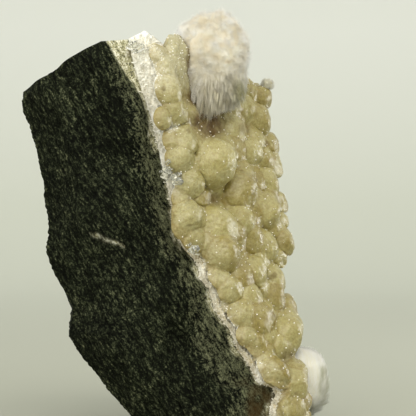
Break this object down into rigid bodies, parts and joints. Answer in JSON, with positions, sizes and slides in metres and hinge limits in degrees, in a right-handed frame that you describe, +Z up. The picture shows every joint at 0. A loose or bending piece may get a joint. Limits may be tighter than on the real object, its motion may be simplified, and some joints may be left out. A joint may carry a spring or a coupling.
{
  "type": "okenite puffball on matrix",
  "caption": "White fibrous okenite puffball on a cream botryoidal crust, on a broken block of dark basalt that stands on its flat base.",
  "frame": {"origin": "centre of the flat broken base, on the surface that the specimen stands on", "axes": "+Z up along the specimen, +X right across the broken basalt face towards the crust, +Y into the block, away from that face"},
  "size_m": [0.0785, 0.0473, 0.1089],
  "materials": {
    "basalt": "broken basalt, dark green-grey, fine-grained and rough",
    "druse": "white sugary druse of tiny crystals",
    "crust": "cream-yellow waxy botryoidal crust, slightly see-through, satin gloss",
    "okenite": "white matted fibres, soft and silky"
  },
  "bodies": {
    "root": {"basalt_matrix": "basalt", "druse_rind": "druse", "botryoidal_crust": "crust", "okenite_puffball": "okenite", "okenite_lower": "okenite", "okenite_tuft": "okenite"}
  },
  "joints": []
}
